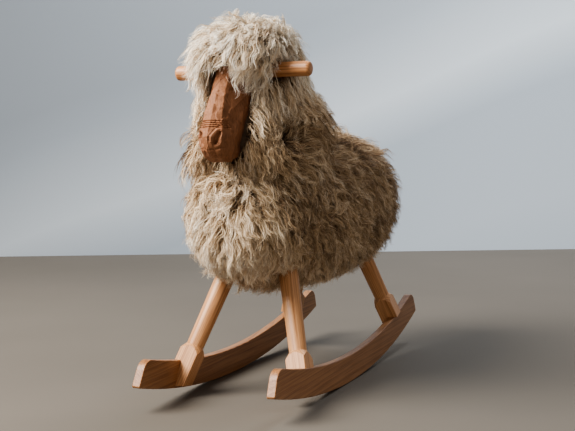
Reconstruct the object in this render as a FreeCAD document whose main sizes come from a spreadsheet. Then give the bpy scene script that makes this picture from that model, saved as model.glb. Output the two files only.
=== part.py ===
import FreeCAD, Part
import math
import os

import Sketcher

# Rocking sheep: two curved rockers, four splayed turned legs, a pine body block, a neck post,
# a carved head with a dowel through it as the handle, wool wadding and a long-haired sheepskin.
# Millimetres. +Z up, the head faces -Y, +X is the sheep's left. The rockers touch the floor
# at Z = 0, at Y = contact_y, which is where they come to rest.

os.makedirs("parts", exist_ok=True)
doc = FreeCAD.newDocument("rocking_sheep")
Vector = FreeCAD.Vector

DIMENSIONS = [
    # rockers
    ("rocker_radius", 1507.0),
    ("rocker_depth", 49.0),
    ("rocker_thickness", 15.0),
    ("rocker_length", 810.0),
    ("rocker_spread", 260.0),
    ("rocker_lean", 2.7),
    ("contact_y", -91.5),
    ("end_slope", 26.0),
    ("end_round", 25.0),
    ("toe_round", 3.0),
    ("rocker_edge_round", 1.6),
    # legs
    ("foot_x", 105.6),
    ("front_foot_y", -242.0),
    ("front_foot_z", 58.0),
    ("rear_foot_y", 249.5),
    ("rear_foot_z", 110.0),
    ("front_lean_in", 0.305),
    ("rear_lean_in", 0.34),
    ("lean_to_middle", 0.406),
    ("foot_side", 36.0),
    ("foot_below", 58.0),
    ("foot_above", 11.0),
    ("foot_shoulder", 15.0),
    ("foot_edge_round", 1.5),
    ("foot_gap", 4.0),
    ("shaft_low_radius", 15.3),
    ("shaft_top_radius", 18.0),
    ("front_shaft_length", 220.0),
    ("rear_shaft_length", 189.0),
    ("tenon_radius", 12.0),
    ("tenon_length", 58.0),
    # body block
    ("block_length", 460.0),
    ("block_width", 140.0),
    ("block_height", 92.0),
    ("block_y", 15.0),
    ("block_z", 304.0),
    ("block_round", 16.0),
    ("body_pitch", 2.9),
    # neck and handle
    ("post_width", 56.0),
    ("post_depth", 44.0),
    ("post_bottom", 262.0),
    ("post_top", 532.0),
    ("handle_y", -244.0),
    ("handle_z", 563.0),
    ("handle_radius", 13.2),
    ("handle_length", 254.0),
    ("handle_round", 6.5),
    ("handle_end_radius", 12.8),
    ("handle_middle_length", 146.0),
    # wadding and fleece
    ("body_y", 20.5),
    ("body_z", 318.0),
    ("body_half_length", 370.0),
    ("body_half_width", 151.0),
    ("body_half_height", 160.0),
    ("plan_power", 2.8),
    ("body_wool", 42.0),
    ("neck_wool", 40.0),
    ("head_split", 518.0),
    ("leg_clearance", 0.6),
    # fastenings
    ("dowel_radius", 4.0),
    ("dowel_length", 23.0),
    ("screw_radius", 2.5),
    ("screw_length", 46.0),
    ("bolt_radius", 4.0),
    ("bolt_head_radius", 8.0),
    ("bolt_head_height", 5.0),
    ("bolt_length", 110.0),
    ("pin_radius", 3.0),
    # the hands' room in the wool beside the head
    ("grip_start", 70.0),
    ("grip_radius", 38.0),
    # how far the sheep leans back on its rockers when it rests
    ("rest_angle", 2.0),
]

sheet = doc.addObject("Spreadsheet::Sheet", "dims")
for row, (alias, value) in enumerate(DIMENSIONS, start=1):
    sheet.set(f"A{row}", alias)
    sheet.set(f"B{row}", str(value))
    sheet.setAlias(f"B{row}", alias)
doc.recompute()


def dim(alias):
    """The value of one cell of the sheet."""
    return float(sheet.get(alias))


def bind(thing, **expressions):
    """Binds properties of a document object to cells of the sheet."""
    for name, expression in expressions.items():
        thing.setExpression(name, expression)


def add(kind, name, **expressions):
    thing = doc.addObject(kind, name)
    bind(thing, **expressions)
    return thing


def place(thing, x, y, z, rotation=None):
    thing.Placement = FreeCAD.Placement(Vector(x, y, z), rotation or FreeCAD.Rotation())
    return thing


def turned(axis, angle):
    return FreeCAD.Rotation(axis, angle)


def cut(name, base, *tools):
    """base without the tools, which may be one object or several."""
    result = doc.addObject("Part::Cut", name)
    result.Base = base
    result.Tool = tools[0] if len(tools) == 1 else fuse(name + "_tools", *tools)
    return result


def fuse(name, *parts):
    result = doc.addObject("Part::MultiFuse", name)
    result.Shapes = list(parts)
    return result


def common(name, *parts):
    result = doc.addObject("Part::MultiCommon", name)
    result.Shapes = list(parts)
    return result


def origin_plane(body, role):
    return next(f for f in body.Origin.OriginFeatures if f.Role == role)


def group_of(name, parts):
    """Separate solids under one name."""
    result = doc.addObject("Part::Compound", name)
    result.Links = parts
    return result


X_AXIS = Vector(1, 0, 0)
Y_AXIS = Vector(0, 1, 0)
Z_AXIS = Vector(0, 0, 1)
SIDES = (("left", 1), ("right", -1))


# ---------------------------------------------------------------- rockers
def rocker_profile(body):
    """The rocker's outline in the YZ plane: two arcs about one centre and two sloping ends."""
    radius = dim("rocker_radius")
    inner = radius - dim("rocker_depth")
    half = dim("rocker_length") / 2
    middle = dim("contact_y")
    slope = math.radians(dim("end_slope"))
    ends = []
    for way in (-1, 1):
        low_y = way * half
        low_z = radius - math.sqrt(radius**2 - (low_y - middle) ** 2)
        # the end slopes back to the inner arc
        step_y = -way * math.sin(slope)
        step_z = math.cos(slope)
        from_y = low_y - middle
        from_z = low_z - radius
        b = from_y * step_y + from_z * step_z
        c = from_y**2 + from_z**2 - inner**2
        run = -b - math.sqrt(b * b - c)
        ends.append(((low_y, low_z), (low_y + run * step_y, low_z + run * step_z)))
    (front_low, front_high), (rear_low, rear_high) = ends

    def angle_of(point):
        return math.atan2(point[1] - radius, point[0] - middle)

    sketch = body.newObject("Sketcher::SketchObject", body.Name + "_outline")
    sketch.AttachmentSupport = [(origin_plane(body, "YZ_Plane"), "")]
    sketch.MapMode = "FlatFace"
    centre = Vector(middle, radius, 0)
    outer_arc = Part.ArcOfCircle(
        Part.Circle(centre, Z_AXIS, radius), angle_of(front_low), angle_of(rear_low)
    )
    inner_arc = Part.ArcOfCircle(
        Part.Circle(centre, Z_AXIS, inner), angle_of(front_high), angle_of(rear_high)
    )
    sketch.addGeometry(outer_arc, False)
    sketch.addGeometry(inner_arc, False)
    sketch.addGeometry(Part.LineSegment(Vector(*front_low, 0), Vector(*front_high, 0)), False)
    sketch.addGeometry(Part.LineSegment(Vector(*rear_low, 0), Vector(*rear_high, 0)), False)
    sketch.addConstraint(Sketcher.Constraint("Coincident", 2, 1, 0, 1))
    sketch.addConstraint(Sketcher.Constraint("Coincident", 2, 2, 1, 1))
    sketch.addConstraint(Sketcher.Constraint("Coincident", 3, 1, 0, 2))
    sketch.addConstraint(Sketcher.Constraint("Coincident", 3, 2, 1, 2))
    sketch.addConstraint(Sketcher.Constraint("Coincident", 0, 3, 1, 3))
    driven = (
        ("outer_radius", Sketcher.Constraint("Radius", 0, radius), "dims.rocker_radius"),
        (
            "inner_radius",
            Sketcher.Constraint("Radius", 1, inner),
            "dims.rocker_radius - dims.rocker_depth",
        ),
        (
            "centre_height",
            Sketcher.Constraint("DistanceY", -1, 1, 0, 3, radius),
            "dims.rocker_radius",
        ),
        ("centre_back", Sketcher.Constraint("DistanceX", 0, 3, -1, 1, -middle), "-dims.contact_y"),
        (
            "front_reach",
            Sketcher.Constraint("DistanceX", 0, 1, -1, 1, half),
            "dims.rocker_length / 2",
        ),
        (
            "rear_reach",
            Sketcher.Constraint("DistanceX", -1, 1, 0, 2, half),
            "dims.rocker_length / 2",
        ),
    )
    for name, constraint, expression in driven:
        index = sketch.addConstraint(constraint)
        sketch.renameConstraint(index, name)
        sketch.setExpression("Constraints." + name, expression)
    return sketch


def outline_edges(shape):
    """The names of the edges round a board's two flat sides."""
    flat = [(i, edge.BoundBox) for i, edge in enumerate(shape.Edges, start=1)]
    return [f"Edge{i}" for i, box in flat if box.XLength < 0.01]


def end_edges(shape):
    """The names of the short cross edges at a rocker's ends: the two upper, the two lower."""
    across = []
    for i, edge in enumerate(shape.Edges, start=1):
        box = edge.BoundBox
        if box.XLength > 1.0 and box.YLength < 0.01 and box.ZLength < 0.01:
            across.append((i, box.YMin, box.ZMin))
    upper = []
    lower = []
    for way in (-1, 1):
        pair = sorted((e for e in across if e[1] * way > 0), key=lambda e: e[2])
        lower.append(f"Edge{pair[0][0]}")
        upper.append(f"Edge{pair[-1][0]}")
    return upper, lower


def rocker(side_name, side):
    body = doc.addObject("PartDesign::Body", side_name + "_rocker_body")
    sketch = rocker_profile(body)
    pad = body.newObject("PartDesign::Pad", body.Name + "_board")
    pad.Profile = sketch
    pad.Reversed = side < 0
    bind(pad, Length="dims.rocker_thickness")
    doc.recompute()
    shaped = pad
    for which, radius in ((0, "dims.end_round"), (1, "dims.toe_round")):
        corners = body.newObject("PartDesign::Fillet", f"{body.Name}_corners{which}")
        corners.Base = (shaped, end_edges(shaped.Shape)[which])
        bind(corners, Radius=radius)
        doc.recompute()
        shaped = corners
    rounds = body.newObject("PartDesign::Fillet", body.Name + "_rounds")
    rounds.Base = (shaped, outline_edges(shaped.Shape))
    bind(rounds, Radius="dims.rocker_edge_round")
    doc.recompute()
    inner_face = dim("rocker_spread") / 2 - dim("rocker_thickness")
    place(body, side * inner_face, 0, 0, turned(Y_AXIS, -side * dim("rocker_lean")))
    # the notch in a foot: everything outside the rocker's inner face, along the rocker's outline
    notch = doc.addObject("PartDesign::Body", side_name + "_notch")
    notch_sketch = rocker_profile(notch)
    notch_pad = notch.newObject("PartDesign::Pad", notch.Name + "_pad")
    notch_pad.Profile = notch_sketch
    notch_pad.Reversed = side < 0
    bind(notch_pad, Length="dims.foot_side * 2")
    notch.Placement = body.Placement
    return body, notch


# ---------------------------------------------------------------- legs
def leg_frame(end, side):
    """The foot's point on the rocker's top edge, the leg's rotation and its direction."""
    lean_in = dim(end + "_lean_in")
    lean_y = dim("lean_to_middle") * (1 if end == "front" else -1)
    along = Vector(-side * lean_in, lean_y, 1).normalize()
    across = Vector(1, 0, side * lean_in).normalize()
    third = along.cross(across)
    point = Vector(side * dim("foot_x"), dim(end + "_foot_y"), dim(end + "_foot_z"))
    return point, FreeCAD.Rotation(across, third, along, "ZXY"), along


def at_leg(thing, end, side, distance):
    """Puts thing on the leg's axis, this far above the rocker's top edge, in line with it."""
    point, rotation, along = leg_frame(end, side)
    thing.Placement = FreeCAD.Placement(point + along * distance, rotation)
    return thing


def leg(end, side_name, side, notch):
    name = f"{end}_{side_name}_leg"
    below = dim("foot_below")
    block = add(
        "Part::Box",
        name + "_block",
        Length="dims.foot_side",
        Width="dims.foot_side",
        Height="dims.foot_below + dims.foot_above + dims.foot_shoulder",
    )
    half = dim("foot_side") / 2
    point, rotation, along = leg_frame(end, side)
    corner = rotation.multVec(Vector(-half, -half, -below))
    block.Placement = FreeCAD.Placement(point + corner, rotation)
    doc.recompute()
    rounded = doc.addObject("Part::Fillet", name + "_rounded")
    rounded.Base = block
    tall = float(block.Height)
    upright = [
        i for i, edge in enumerate(block.Shape.Edges, start=1) if abs(edge.Length - tall) < 0.01
    ]
    rounded.Edges = [(i, dim("foot_edge_round"), dim("foot_edge_round")) for i in upright]
    # turning leaves a cone where the square meets the round shaft
    cone_slope = "(dims.foot_side * 0.71 - dims.shaft_low_radius) / dims.foot_shoulder"
    height = "(dims.foot_below + dims.foot_above + dims.foot_shoulder)"
    shoulder = add(
        "Part::Cone",
        name + "_shoulder",
        Radius1=f"dims.shaft_low_radius + {cone_slope} * {height}",
        Radius2="dims.shaft_low_radius",
        Height=height,
    )
    at_leg(shoulder, end, side, -below)
    foot = common(name + "_foot", rounded, shoulder)
    shaft_start = dim("foot_above")
    shaft = add(
        "Part::Cone",
        name + "_shaft",
        Radius1="dims.shaft_low_radius",
        Radius2="dims.shaft_top_radius",
        Height=f"dims.{end}_shaft_length - dims.foot_above",
    )
    at_leg(shaft, end, side, shaft_start)
    tenon = add(
        "Part::Cylinder",
        name + "_tenon",
        Radius="dims.tenon_radius",
        Height="dims.tenon_length + 1",
    )
    at_leg(tenon, end, side, dim(end + "_shaft_length") - 1)
    whole = fuse(name + "_turned", foot, shaft, tenon)
    notched = cut(name + "_notched", whole, notch)
    # the foot ends just above the rocker's underside
    limit = add(
        "Part::Cylinder",
        name + "_limit",
        Radius="dims.rocker_radius - dims.foot_gap",
        Height="dims.rocker_length",
    )
    place(
        limit,
        -dim("rocker_length") / 2,
        dim("contact_y"),
        dim("rocker_radius"),
        turned(Y_AXIS, 90),
    )
    finished = common(name + "_finished", notched, limit)
    # the socket that the leg makes in the body block
    seat = add(
        "Part::Cylinder",
        name + "_seat",
        Radius="dims.shaft_top_radius",
        Height="dims.foot_side",
    )
    at_leg(seat, end, side, dim(end + "_shaft_length") - dim("foot_side"))
    socket_tenon = add(
        "Part::Cylinder",
        name + "_socket",
        Radius="dims.tenon_radius",
        Height="dims.tenon_length + 1",
    )
    at_leg(socket_tenon, end, side, dim(end + "_shaft_length") - 1)
    # the room that the wadding and the fleece leave for the leg
    room = add(
        "Part::Cylinder",
        name + "_room",
        Radius="dims.shaft_top_radius + dims.leg_clearance",
        Height=f"dims.{end}_shaft_length",
    )
    at_leg(room, end, side, 0)
    return finished, [seat, socket_tenon], room


def leg_screw(end, side_name, side):
    """A screw down the leg's axis, from above the tenon into it."""
    screw = add(
        "Part::Cylinder",
        f"{end}_{side_name}_screw",
        Radius="dims.screw_radius",
        Height="dims.screw_length",
    )
    tenon_end = dim(end + "_shaft_length") + dim("tenon_length")
    return at_leg(screw, end, side, tenon_end + 12.0 - dim("screw_length"))


def foot_dowels(end, side_name, side):
    """Two blind dowels through the lap of one foot, from just inside the rocker's outer face."""
    dowels = []
    outer = dim("rocker_spread") / 2
    lap_y = dim(end + "_foot_y") - dim("lean_to_middle") * dim("rocker_depth") / 2 * (
        1 if end == "front" else -1
    )
    lap_z = dim(end + "_foot_z") - dim("rocker_depth") / 2
    skin = 4.0
    for number, way in enumerate((-1, 1), start=1):
        dowel = add(
            "Part::Cylinder",
            f"{end}_{side_name}_dowel{number}",
            Radius="dims.dowel_radius",
            Height="dims.dowel_length",
        )
        start = outer - skin - lap_z * math.tan(math.radians(dim("rocker_lean")))
        rise = 9.0 * way if end == "rear" else 0.0
        place(dowel, side * start, lap_y + 9.0 * way, lap_z + rise * 0.4, turned(Y_AXIS, -90 * side))
        dowels.append(dowel)
    return dowels


# ---------------------------------------------------------------- soft shapes
def oval(name, major, minor, placement):
    ring = add("Part::Ellipse", name, MajorRadius=major, MinorRadius=minor)
    ring.Placement = placement
    return ring


def loft(name, rings):
    result = doc.addObject("Part::Loft", name)
    result.Sections = rings
    result.Solid = True
    result.Ruled = False
    return result


BODY_STATIONS = (-0.999, -0.98, -0.9, -0.72, -0.4, 0.0, 0.4, 0.72, 0.9, 0.98, 0.999)


def body_loft(name, inset):
    """The body's rounded barrel, this many millimetres inside the ends of the wool."""
    rings = []
    upright = FreeCAD.Rotation(Z_AXIS, -X_AXIS, -Y_AXIS, "ZXY")
    half = dim("body_half_length") - (dim("body_wool") if inset else 0.0)
    inset_text = " - dims.body_wool" if inset else ""
    for number, station in enumerate(BODY_STATIONS):
        fullness = (1 - abs(station) ** dim("plan_power")) ** (1 / dim("plan_power"))
        spot = Vector(0, dim("body_y") + half * station, dim("body_z"))
        rings.append(
            oval(
                f"{name}_ring{number}",
                f"(dims.body_half_height{inset_text}) * {fullness:.4f}",
                f"(dims.body_half_width{inset_text}) * {fullness:.4f}",
                FreeCAD.Placement(spot, upright),
            )
        )
    return loft(name, rings)


# height, Y of the middle, half width and half depth of the wool from the chest to the crown
TOWER = (
    (300, -161, 120, 124),
    (380, -163, 128, 131),
    (440, -171, 122, 126),
    (500, -185, 115, 118),
    (560, -201, 110, 110),
    (610, -211, 101, 102),
    (640, -211, 82, 84),
    (658, -208, 50, 52),
)


def tower_loft(name, inset):
    """The neck and head, rounded in plan; the wadding under the wool stops short of its crown."""
    rings = []
    drop = dim("neck_wool") if inset else 0.0
    inset_text = " - dims.neck_wool" if inset else ""
    rotation = turned(Z_AXIS, 90)
    for number, (height, middle, wide, deep) in enumerate(TOWER):
        if inset and min(wide, deep) - drop < 15:
            continue
        level = height - drop * max(0.0, (height - 560) / 98.0)
        rings.append(
            oval(
                f"{name}_ring{number}",
                f"{deep}{inset_text}",
                f"{wide}{inset_text}",
                FreeCAD.Placement(Vector(0, middle, level), rotation),
            )
        )
    return loft(name, rings)


# ---------------------------------------------------------------- carved head
# Level, then the front face's Y and half width, the cheek's Y and half width, the back's Y
HEAD_SECTIONS = (
    (406, -349, 12, -322, 20, -296),
    (421, -371, 17, -330, 27, -264),
    (446, -379, 21, -330, 31, -228),
    (486, -362, 16, -312, 33, -222),
    (545, -328, 12, -276, 35, -188),
    (600, -290, 14, -244, 34, -184),
)


def carved_head():
    body = doc.addObject("PartDesign::Body", "head_carving")
    sketches = []
    for number, (level, front, front_half, cheek, cheek_half, back) in enumerate(HEAD_SECTIONS):
        sketch = body.newObject("Sketcher::SketchObject", f"head_section{number}")
        sketch.AttachmentSupport = [(origin_plane(body, "XY_Plane"), "")]
        sketch.MapMode = "FlatFace"
        sketch.AttachmentOffset = FreeCAD.Placement(Vector(0, 0, level), FreeCAD.Rotation())
        back_half = cheek_half * 0.72
        right = [(front_half, front), (cheek_half, cheek), (back_half, back)]
        outline = right + [(-x, y) for x, y in reversed(right)]
        for (x1, y1), (x2, y2) in zip(outline, outline[1:] + outline[:1]):
            sketch.addGeometry(Part.LineSegment(Vector(x1, y1, 0), Vector(x2, y2, 0)), False)
        sketches.append(sketch)
    carving = body.newObject("PartDesign::AdditiveLoft", "head_faces")
    carving.Profile = sketches[0]
    carving.Sections = sketches[1:]
    carving.Ruled = True
    doc.recompute()
    return body


# ---------------------------------------------------------------- assembly
nodes = {}
rockers = {}
notches = {}
for side_name, side in SIDES:
    rockers[side_name], notches[side_name] = rocker(side_name, side)

legs = {}
sockets = []
leg_rooms = []
leg_screws = []
dowels = []
dowels_of_rocker = {"left": [], "right": []}
for end in ("front", "rear"):
    for side_name, side in SIDES:
        whole_leg, leg_sockets, leg_room = leg(end, side_name, side, notches[side_name])
        screw = leg_screw(end, side_name, side)
        pair = foot_dowels(end, side_name, side)
        legs[(end, side_name)] = cut(f"{end}_{side_name}_leg", whole_leg, screw, *pair)
        nodes[f"{end}_{side_name}_leg"] = legs[(end, side_name)]
        sockets += leg_sockets
        leg_rooms.append(leg_room)
        leg_screws.append(screw)
        dowels += pair
        dowels_of_rocker[side_name] += pair

for side_name, side in SIDES:
    name = side_name + "_rocker"
    nodes[name] = cut(name + "_drilled", rockers[side_name], *dowels_of_rocker[side_name])

nodes["rocker_dowels"] = group_of("rocker_dowel_group", dowels)
nodes["leg_screws"] = group_of("leg_screw_group", leg_screws)

# body block, pitched with the barrel of the body
block_blank = add(
    "Part::Box",
    "block_blank",
    Length="dims.block_width",
    Width="dims.block_length",
    Height="dims.block_height",
)
pitch = turned(X_AXIS, dim("body_pitch"))
block_middle = Vector(0, dim("block_y"), dim("block_z"))
block_corner = Vector(-dim("block_width") / 2, -dim("block_length") / 2, -dim("block_height") / 2)
block_blank.Placement = FreeCAD.Placement(block_middle + pitch.multVec(block_corner), pitch)
doc.recompute()
block_round = doc.addObject("Part::Fillet", "block_round")
block_round.Base = block_blank
block_round.Edges = [
    (i, dim("block_round"), dim("block_round"))
    for i, edge in enumerate(block_blank.Shape.Edges, start=1)
    if abs(edge.Length - dim("block_length")) < 0.01
]

# neck post against the block's front end
block_front = dim("block_y") - dim("block_length") / 2
post_blank = add(
    "Part::Box",
    "post_blank",
    Length="dims.post_width",
    Width="dims.post_depth",
    Height="dims.post_top - dims.post_bottom",
)
place(post_blank, -dim("post_width") / 2, block_front - dim("post_depth") + 2.0, dim("post_bottom"))
post_front = block_front - dim("post_depth") + 2.0

# two bolts through the post into the block
neck_bolts = []
for number, level in enumerate((288.0, 322.0), start=1):
    stem = add("Part::Cylinder", f"bolt{number}_stem", Radius="dims.bolt_radius", Height="dims.bolt_length")
    head = add(
        "Part::Cylinder",
        f"bolt{number}_head",
        Radius="dims.bolt_head_radius",
        Height="dims.bolt_head_height",
    )
    place(stem, 0, post_front, level, turned(X_AXIS, -90))
    place(head, 0, post_front, level, turned(X_AXIS, -90))
    neck_bolts.append(fuse(f"bolt{number}", stem, head))
nodes["neck_bolts"] = group_of("neck_bolt_group", neck_bolts)

# two dowels across the head and the post
head_dowels = []
post_middle = post_front + dim("post_depth") / 2
for number, level in enumerate((496.0, 518.0), start=1):
    dowel = add("Part::Cylinder", f"head_dowel{number}", Radius="dims.dowel_radius", Height="52")
    place(dowel, -26.0, post_middle, level, turned(Y_AXIS, 90))
    head_dowels.append(dowel)
nodes["head_dowels"] = group_of("head_dowel_group", head_dowels)

# handle: one dowel through the head, held by a pin from above
handle_blank = add(
    "Part::Cylinder",
    "handle_blank",
    Radius="dims.handle_radius",
    Height="dims.handle_length",
)
place(handle_blank, -dim("handle_length") / 2, dim("handle_y"), dim("handle_z"), turned(Y_AXIS, 90))
handle_middle = add(
    "Part::Cylinder",
    "handle_middle",
    Radius="dims.handle_radius",
    Height="dims.handle_middle_length",
)
place(
    handle_middle,
    -dim("handle_middle_length") / 2,
    dim("handle_y"),
    dim("handle_z"),
    turned(Y_AXIS, 90),
)
# the two ends are sanded a little thinner, for the hands
handle_ends = add(
    "Part::Cylinder",
    "handle_ends",
    Radius="dims.handle_end_radius",
    Height="dims.handle_length",
)
handle_ends.Placement = handle_blank.Placement
doc.recompute()
handle_round = doc.addObject("Part::Fillet", "handle_round")
handle_round.Base = handle_ends
handle_round.Edges = [
    (i, dim("handle_round"), dim("handle_round"))
    for i, edge in enumerate(handle_ends.Shape.Edges, start=1)
    if edge.Closed
]
handle_whole = fuse("handle_whole", handle_middle, handle_round)
pin_bottom = dim("handle_z") - dim("handle_radius") + 3.0
handle_pin = add("Part::Cylinder", "handle_pin_rod", Radius="dims.pin_radius", Height="44")
place(handle_pin, 0, dim("handle_y"), pin_bottom)
nodes["handle_pin"] = handle_pin
nodes["handle_bar"] = cut("handle_drilled", handle_whole, handle_pin)

carving = carved_head()
nodes["head_block"] = cut("head_fitted", carving, handle_blank, handle_pin, post_blank, *head_dowels)
nodes["neck_post"] = cut("post_fitted", post_blank, block_round, *neck_bolts, *head_dowels)
nodes["body_block"] = cut("block_fitted", block_round, *sockets, *neck_bolts, *leg_screws)

# wadding and fleece
barrel_wool = body_loft("barrel_wool", False)
barrel_core = body_loft("barrel_core", True)
tower_wool = tower_loft("tower_wool", False)
tower_core = tower_loft("tower_core", True)
below_split = add("Part::Box", "below_split", Length="600", Width="900", Height="dims.head_split")
place(below_split, -300, -450, 0)
above_split = add("Part::Box", "above_split", Length="600", Width="900", Height="400")
place(above_split, -300, -450, dim("head_split"))
handle_room = add(
    "Part::Cylinder",
    "handle_room",
    Radius="dims.handle_radius",
    Height="dims.handle_length",
)
handle_room.Placement = handle_blank.Placement
grip_rooms = []
for side_name, side in SIDES:
    grip = add(
        "Part::Cone",
        side_name + "_grip_room",
        Radius1="dims.handle_radius",
        Radius2="dims.grip_radius",
        Height="dims.handle_length / 2 - dims.grip_start",
    )
    place(
        grip,
        side * dim("grip_start"),
        dim("handle_y"),
        dim("handle_z"),
        turned(Y_AXIS, 90 * side),
    )
    grip_rooms.append(grip)

neck_core = common("neck_core", tower_core, below_split)
crown_core = common("crown_core", tower_core, above_split)
neck_wool = common("neck_wool", tower_wool, below_split)
crown_wool = common("crown_wool", tower_wool, above_split)

nodes["body_padding"] = cut(
    "barrel_wadding", barrel_core, block_blank, post_blank, *leg_rooms, *leg_screws
)
nodes["body_fleece"] = cut("barrel_fleece", barrel_wool, barrel_core, tower_core, *leg_rooms)
nodes["neck_padding"] = cut("neck_wadding", neck_core, barrel_core, post_blank, carving)
neck_ring = cut("neck_ring", neck_wool, tower_core)
neck_open = cut("neck_open", neck_ring, carving)
nodes["neck_fleece"] = cut("neck_hide", neck_open, barrel_wool)
nodes["head_padding"] = cut("crown_wadding", crown_core, carving, handle_room)
nodes["head_fleece"] = cut(
    "crown_fleece", crown_wool, tower_core, carving, handle_room, *grip_rooms
)

doc.recompute()

# ---------------------------------------------------------------- rest position
# Everything above is drawn with the rockers touching at contact_y. At rest the sheep has rolled
# back by rest_angle about the centre of the rockers' arc, and the floor is still at Z = 0.
arc_centre = Vector(0, dim("contact_y"), dim("rocker_radius"))
rolled = FreeCAD.Placement(Vector(0, 0, 0), turned(X_AXIS, -dim("rest_angle")), arc_centre)
board = nodes["left_rocker"].Shape.copy()
board.transformShape(rolled.toMatrix())
reach = board.optimalBoundingBox(False, False)
middle_y = (reach.YMin + reach.YMax) / 2
centred = FreeCAD.Placement(Vector(0, -middle_y, -reach.ZMin), FreeCAD.Rotation())
rest = centred.multiply(rolled)
for name, thing in nodes.items():
    thing.Placement = rest.multiply(thing.Placement)
    thing.Label = name
doc.recompute()
print("rest placement", rest)

# ---------------------------------------------------------------- checks and export
for thing in doc.Objects:
    if "Invalid" in thing.State or "Error" in thing.State:
        raise RuntimeError(f"{thing.Name} failed: {thing.State}")
for name, thing in nodes.items():
    shape = thing.Shape
    if shape.isNull() or not shape.isValid():
        raise RuntimeError(f"{name} has no valid shape")
    print(f"{name:20s} solids {len(shape.Solids)}  volume {shape.Volume / 1000:10.1f} cm3")
for name, thing in nodes.items():
    thing.Shape.exportStep(f"parts/{name}.step")
print("nodes", len(nodes))
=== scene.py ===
import math

import bpy
import numpy as np
from mathutils import Matrix, Vector


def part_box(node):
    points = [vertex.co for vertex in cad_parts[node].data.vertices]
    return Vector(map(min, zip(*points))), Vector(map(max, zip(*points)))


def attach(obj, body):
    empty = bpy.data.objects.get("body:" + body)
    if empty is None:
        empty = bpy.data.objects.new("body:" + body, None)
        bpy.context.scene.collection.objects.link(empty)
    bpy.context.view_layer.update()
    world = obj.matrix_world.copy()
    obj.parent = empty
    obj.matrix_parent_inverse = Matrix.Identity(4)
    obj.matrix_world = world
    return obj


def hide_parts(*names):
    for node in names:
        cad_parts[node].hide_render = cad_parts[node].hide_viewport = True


# A rocking sheep: pine rockers, legs and handle, a carved face, and a fleece of wavy pointed locks.
# Metres. +Z up, the sheep faces -Y, +X is its left side.

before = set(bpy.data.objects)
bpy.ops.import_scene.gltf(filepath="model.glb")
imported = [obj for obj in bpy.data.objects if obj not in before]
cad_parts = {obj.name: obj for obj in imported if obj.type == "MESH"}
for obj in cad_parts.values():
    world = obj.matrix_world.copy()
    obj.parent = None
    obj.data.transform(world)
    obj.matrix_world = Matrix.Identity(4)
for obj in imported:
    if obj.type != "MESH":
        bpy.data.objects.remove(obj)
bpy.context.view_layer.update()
rng = np.random.default_rng(20)

# The part is drawn with its rockers level and then leans back to its rest position.
REST = Matrix.Translation((0, -0.0022225, -0.0023478)) @ Matrix.Rotation(math.radians(-2.0), 4, "X")
REST_ROTATION = np.array(REST.to_3x3())
REST_SHIFT = np.array(REST.translation)


def at_rest(points):
    return np.asarray(points, float) @ REST_ROTATION.T + REST_SHIFT


# ---------------------------------------------------------------- materials
def new_material(name, roughness=0.5):
    material = bpy.data.materials.new(name)
    material.use_nodes = True
    nodes = material.node_tree.nodes
    shader = nodes["Principled BSDF"]
    shader.inputs["Roughness"].default_value = roughness
    return material, nodes, material.node_tree.links, shader


def add_node(nodes, kind, **values):
    node = nodes.new(kind)
    for key, value in values.items():
        if key in node.inputs:
            node.inputs[key].default_value = value
        else:
            setattr(node, key, value)
    return node


def ramp(nodes, stops):
    node = nodes.new("ShaderNodeValToRGB")
    elements = node.color_ramp.elements
    while len(elements) < len(stops):
        elements.new(0.5)
    for element, (position, color) in zip(elements, stops):
        element.position = position
        element.color = (*color, 1)
    return node


def mix(nodes, links, factor, a, b, mode="MIX"):
    node = nodes.new("ShaderNodeMix")
    node.data_type = "RGBA"
    node.blend_type = mode
    for socket, value in ((node.inputs[0], factor), (node.inputs[6], a), (node.inputs[7], b)):
        if isinstance(value, (int, float)):
            socket.default_value = value
        elif isinstance(value, tuple):
            socket.default_value = (*value, 1)
        else:
            links.new(value, socket)
    return node.outputs[2]


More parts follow.
